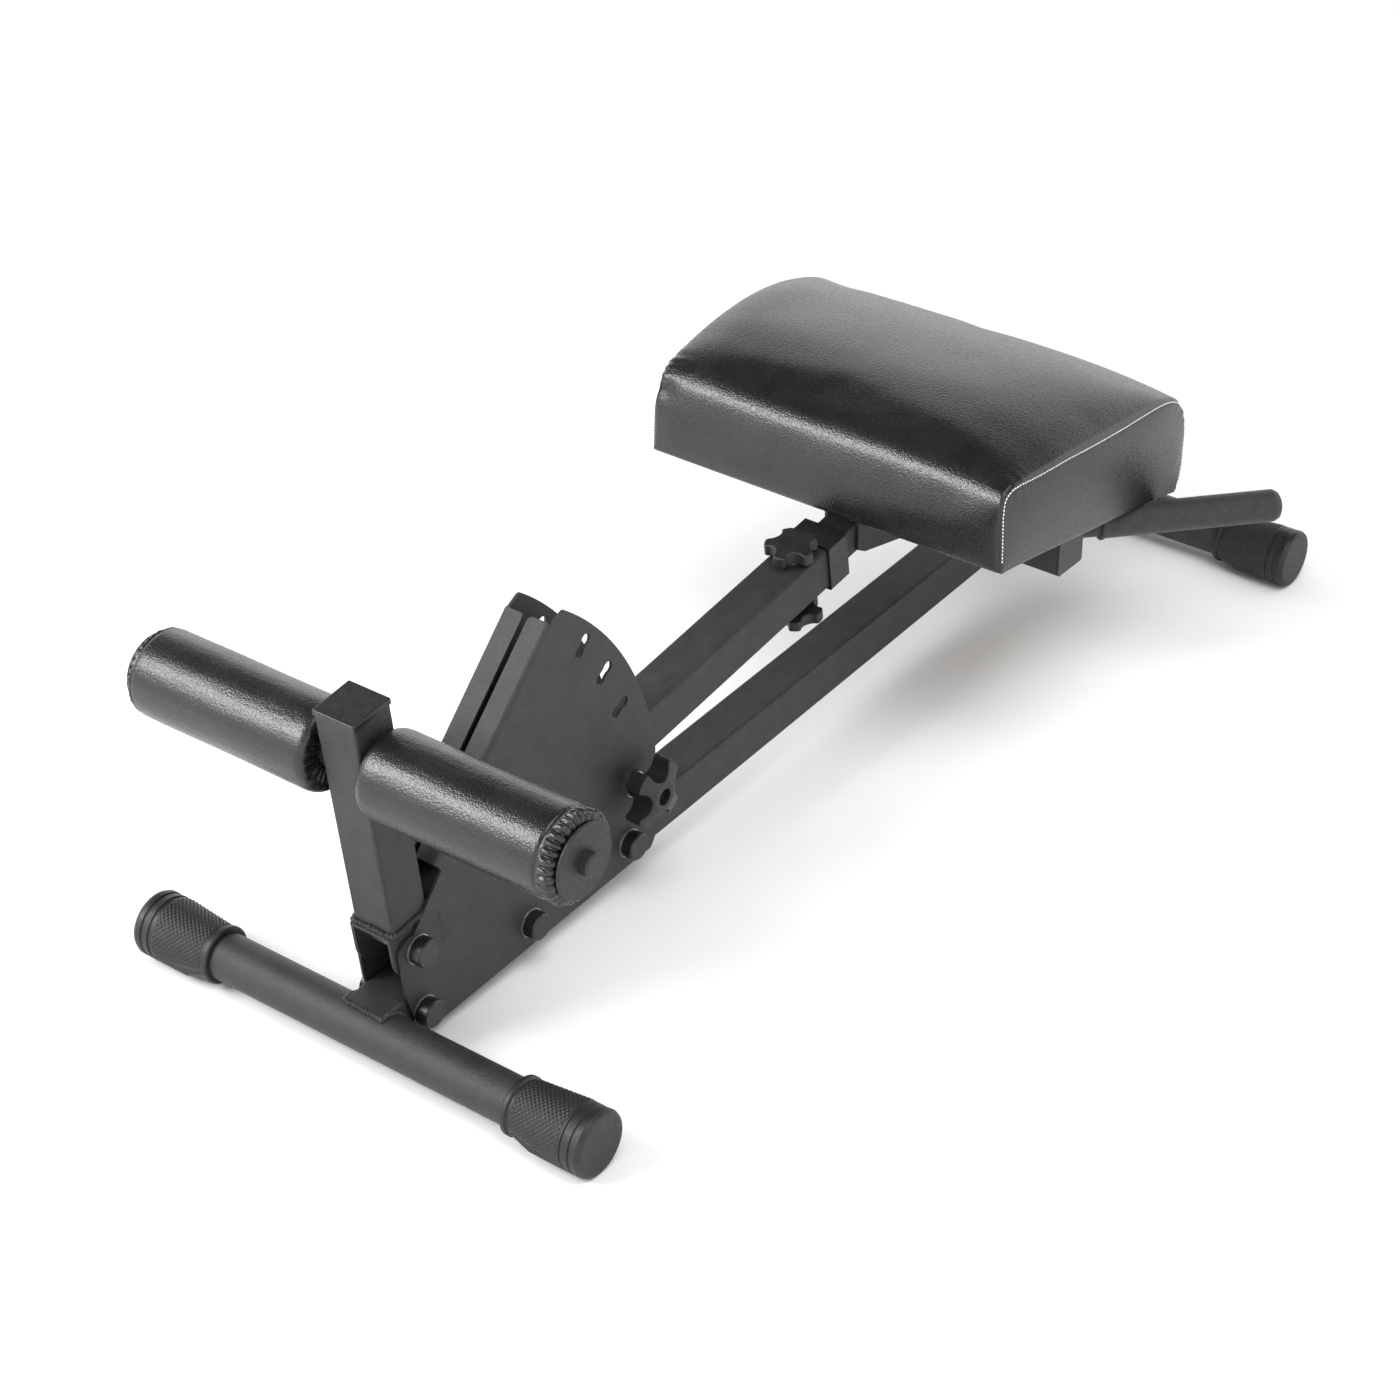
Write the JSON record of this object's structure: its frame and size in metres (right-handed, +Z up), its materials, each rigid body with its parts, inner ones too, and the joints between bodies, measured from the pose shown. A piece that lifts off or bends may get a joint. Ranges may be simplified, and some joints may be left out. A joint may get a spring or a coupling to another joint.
{
  "type": "adjustable weight bench",
  "caption": "Folding back-extension bench: a pivoting arm on a low two-foot frame carries ankle rollers and a sliding padded hip rest with two side handles.",
  "frame": {"origin": "on the floor, at the middle of the footprint of the resting bench", "axes": "+X from the ankle rollers to the hip pad, +Y to the bench's left side, +Z up"},
  "size_m": [1.126, 0.5478, 0.3235],
  "materials": {
    "frame_coat": "satin black powder coat, faintly pebbled",
    "cap_plastic": "matte black moulded plastic, knurled band",
    "plug_plastic": "matte black moulded plastic",
    "knob_plastic": "matte black moulded plastic",
    "roller_plug": "smooth matte black moulded plastic",
    "liner_plastic": "smooth black plastic tube",
    "grip_rubber": "soft matte black",
    "fastener_steel": "bright zinc plate",
    "pad_cover": "black artificial leather, fine grain, semi-gloss",
    "roller_cover": "black artificial leather, fine grain, semi-gloss",
    "foam": "closed-cell and cut foam, hidden by the covers",
    "board_wood": "raw plywood, hidden by the cover except below"
  },
  "bodies": {
    "base": {"front_foot_tube": "frame_coat", "rear_foot_tube": "frame_coat", "front_foot_cap_left": "cap_plastic", "front_foot_cap_right": "cap_plastic", "rear_foot_cap_left": "cap_plastic", "rear_foot_cap_right": "cap_plastic", "lower_beam": "frame_coat", "beam_end_plug": "plug_plastic", "crush_sleeves": "fastener_steel", "rear_saddle": "frame_coat", "frame_bolts": "fastener_steel", "frame_nuts": "fastener_steel", "saddle_bolts": "fastener_steel", "saddle_nuts": "fastener_steel", "pivot_bolt": "fastener_steel", "pivot_nut": "fastener_steel", "bolt_washers": "fastener_steel", "bolt_covers_left": "plug_plastic", "bolt_covers_right": "plug_plastic", "pivot_sleeve": "fastener_steel", "sector_plate_left": "frame_coat", "sector_plate_right": "frame_coat", "lock_nut": "fastener_steel"},
    "arm": {"pivot_bracket": "frame_coat", "arm_tube": "frame_coat", "arm_rest_block": "plug_plastic", "upright_tube": "frame_coat", "upright_cap": "plug_plastic", "roller_bar": "frame_coat", "roller_end_plug_left": "roller_plug", "roller_end_plug_right": "roller_plug", "arm_collar": "plug_plastic", "clamp_washers": "fastener_steel"},
    "roller_left": {"roller_liner_left": "liner_plastic", "roller_foam_left": "foam", "roller_cover_left": "roller_cover"},
    "roller_right": {"roller_liner_right": "liner_plastic", "roller_foam_right": "foam", "roller_cover_right": "roller_cover"},
    "clamp_knob": {"clamp_knob_top": "knob_plastic", "clamp_bolt": "fastener_steel"},
    "clamp_nut": {"clamp_knob_bottom": "knob_plastic", "clamp_thread_insert": "fastener_steel"},
    "lock_carrier": {"lock_washer": "fastener_steel"},
    "lock_pin": {"lock_bolt": "fastener_steel", "lock_knob": "knob_plastic"},
    "slider": {"slider_tube": "frame_coat", "pad_bracket": "frame_coat", "cross_tube": "frame_coat", "cross_tube_plug_left": "plug_plastic", "cross_tube_plug_right": "plug_plastic", "handle_tube_left": "frame_coat", "handle_tube_right": "frame_coat", "handle_grip_left": "grip_rubber", "handle_grip_right": "grip_rubber", "pad_board": "board_wood", "pad_foam": "foam", "pad_cover": "pad_cover", "pad_bolts": "fastener_steel", "pad_t_nuts": "fastener_steel"}
  },
  "joints": [
    {"name": "arm_pivot", "type": "hinge", "parent": "base", "child": "arm", "pos_m": [-0.499, 0, 0.092], "axis": [0, -1, 0], "range_deg": [0, 37.8]},
    {"name": "pad_slide", "type": "slide", "parent": "arm", "child": "slider", "axis": [0.9896, 0, 0.1437], "range_m": [0, 0.1]},
    {"name": "roller_left_spin", "type": "hinge", "parent": "arm", "child": "roller_left", "pos_m": [-0.52132, 0, 0.2666], "axis": [0, 1, 0], "continuous": true},
    {"name": "roller_right_spin", "type": "hinge", "parent": "arm", "child": "roller_right", "pos_m": [-0.52132, 0, 0.2666], "axis": [0, 1, 0], "continuous": true},
    {"name": "clamp_knob_turn", "type": "hinge", "parent": "arm", "child": "clamp_knob", "pos_m": [0.02352, 0, 0.16786], "axis": [-0.1437, 0, 0.9896], "continuous": true},
    {"name": "clamp_nut_turn", "type": "hinge", "parent": "arm", "child": "clamp_nut", "pos_m": [0.02352, 0, 0.16786], "axis": [-0.1437, 0, 0.9896], "continuous": true},
    {"name": "lock_pull", "type": "slide", "parent": "base", "child": "lock_carrier", "axis": [0, -1, 0], "range_m": [0, 0.08]},
    {"name": "lock_turn", "type": "hinge", "parent": "lock_carrier", "child": "lock_pin", "pos_m": [-0.23251, 0, 0.09972], "axis": [0, 1, 0], "continuous": true}
  ]
}
